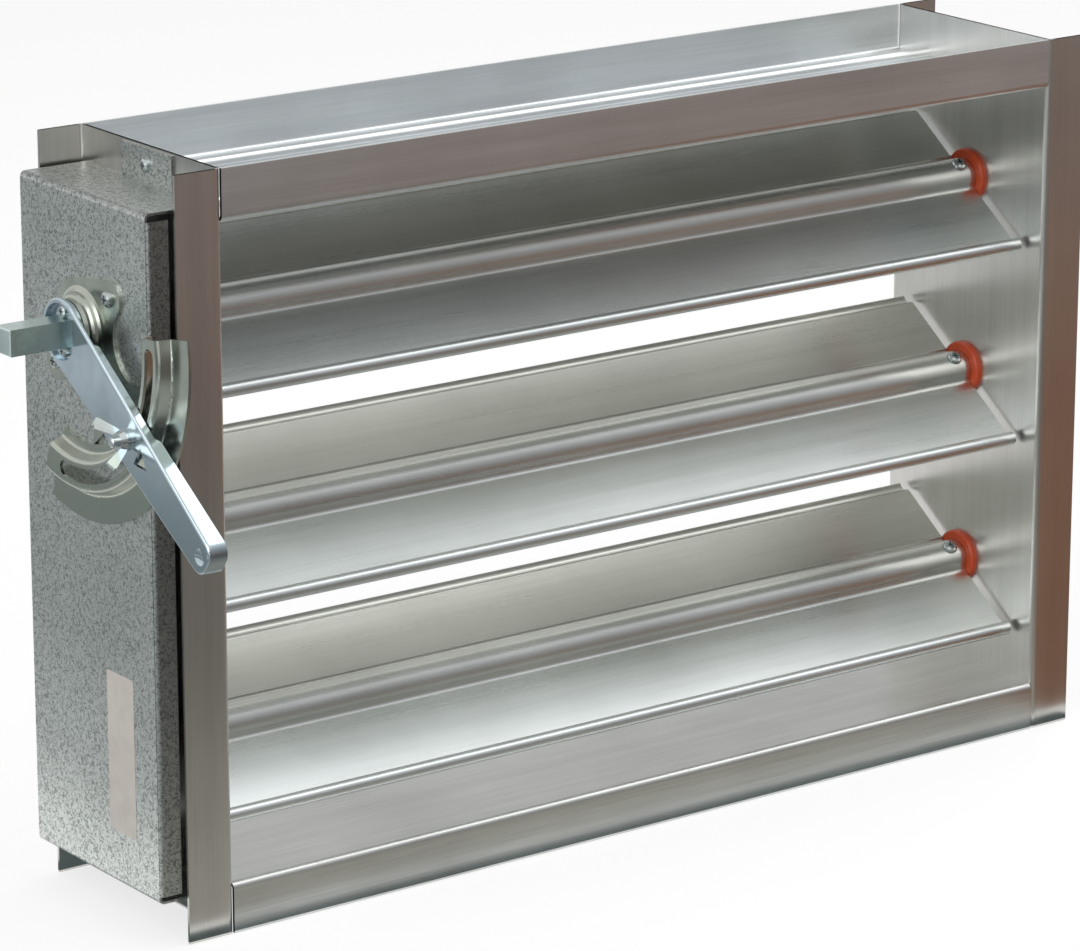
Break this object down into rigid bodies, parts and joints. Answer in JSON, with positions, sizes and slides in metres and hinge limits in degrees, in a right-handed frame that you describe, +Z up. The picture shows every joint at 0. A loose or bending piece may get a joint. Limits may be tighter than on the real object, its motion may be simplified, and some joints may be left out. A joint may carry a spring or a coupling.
{
  "type": "manual control damper",
  "caption": "Rectangular duct damper: parallel blades in a channel frame, linked under a side cover and set by a hand lever that a wing nut locks on a slotted quadrant.",
  "frame": {"origin": "middle of the clear opening at mid depth, on the middle blade's axis", "axes": "+X across the airway along the blade axes, away from the lever; +Y along the airway towards the rear; +Z up"},
  "size_m": [0.6065, 0.1847, 0.37],
  "materials": {
    "frame_aluminium": "mill finish, lightly brushed along the section",
    "blade_aluminium": "mill finish extrusion",
    "galvanised_sheet": "hot dip galvanised, fine spangle",
    "zinc_pressing": "bright zinc plated pressing",
    "axle_steel": "drawn steel bar, zinc plated",
    "linkage_steel": "zinc plated",
    "fastener_zinc": "bright zinc plated",
    "bush_plastic": "orange-red moulded plastic"
  },
  "bodies": {
    "frame": {"left_side_channel": "frame_aluminium", "right_side_channel": "frame_aluminium", "top_channel": "frame_aluminium", "bottom_channel": "frame_aluminium", "corner_screws": "fastener_zinc", "linkage_cover": "galvanised_sheet", "cover_screws": "fastener_zinc", "quadrant_plate": "zinc_pressing", "quadrant_screws": "fastener_zinc", "left_bush_top": "bush_plastic", "right_bush_top": "bush_plastic", "left_bush_middle": "bush_plastic", "right_bush_middle": "bush_plastic", "left_bush_bottom": "bush_plastic", "right_bush_bottom": "bush_plastic"},
    "blade_top": {"blade_top": "blade_aluminium", "blade_screws_top": "fastener_zinc", "drive_spindle": "axle_steel", "right_axle_top": "axle_steel", "crank_top": "linkage_steel", "crank_pin_top": "linkage_steel", "pin_clip_top": "linkage_steel", "lever": "zinc_pressing", "lever_hub": "axle_steel", "lever_clamp_screws": "fastener_zinc", "lock_bolt": "fastener_zinc", "slot_spacer": "fastener_zinc", "lock_washer": "fastener_zinc"},
    "blade_middle": {"blade_middle": "blade_aluminium", "blade_screws_middle": "fastener_zinc", "left_axle_middle": "axle_steel", "right_axle_middle": "axle_steel", "crank_middle": "linkage_steel", "crank_pin_middle": "linkage_steel", "pin_clip_middle": "linkage_steel"},
    "blade_bottom": {"blade_bottom": "blade_aluminium", "blade_screws_bottom": "fastener_zinc", "left_axle_bottom": "axle_steel", "right_axle_bottom": "axle_steel", "crank_bottom": "linkage_steel", "crank_pin_bottom": "linkage_steel", "pin_clip_bottom": "linkage_steel"},
    "tie_bar": {"tie_bar": "linkage_steel"},
    "wing_nut": {"wing_nut": "fastener_zinc"}
  },
  "joints": [
    {"name": "blade_top_turn", "type": "hinge", "parent": "frame", "child": "blade_top", "pos_m": [0, 0, 0.104], "axis": [1, 0, 0], "range_deg": [-35, 55]},
    {"name": "blade_middle_turn", "type": "hinge", "parent": "frame", "child": "blade_middle", "pos_m": [0, 0, 0], "axis": [1, 0, 0], "range_deg": [-35, 55]},
    {"name": "blade_bottom_turn", "type": "hinge", "parent": "frame", "child": "blade_bottom", "pos_m": [0, 0, -0.104], "axis": [1, 0, 0], "range_deg": [-35, 55]},
    {"name": "tie_bar_pivot", "type": "hinge", "parent": "blade_top", "child": "tie_bar", "pos_m": [-0.2684, 0.02954, 0.09879], "axis": [1, 0, 0], "range_deg": [-55, 35]},
    {"name": "wing_nut_turn", "type": "hinge", "parent": "blade_top", "child": "wing_nut", "pos_m": [-0.306, -0.05675, 0.06529], "axis": [-1, 0, 0], "range_deg": [0, 360]}
  ],
  "couplings": [
    {"joint": "blade_middle_turn", "follows": "blade_top_turn", "ratio": 1},
    {"joint": "blade_bottom_turn", "follows": "blade_top_turn", "ratio": 1},
    {"joint": "tie_bar_pivot", "follows": "blade_top_turn", "ratio": -1}
  ]
}
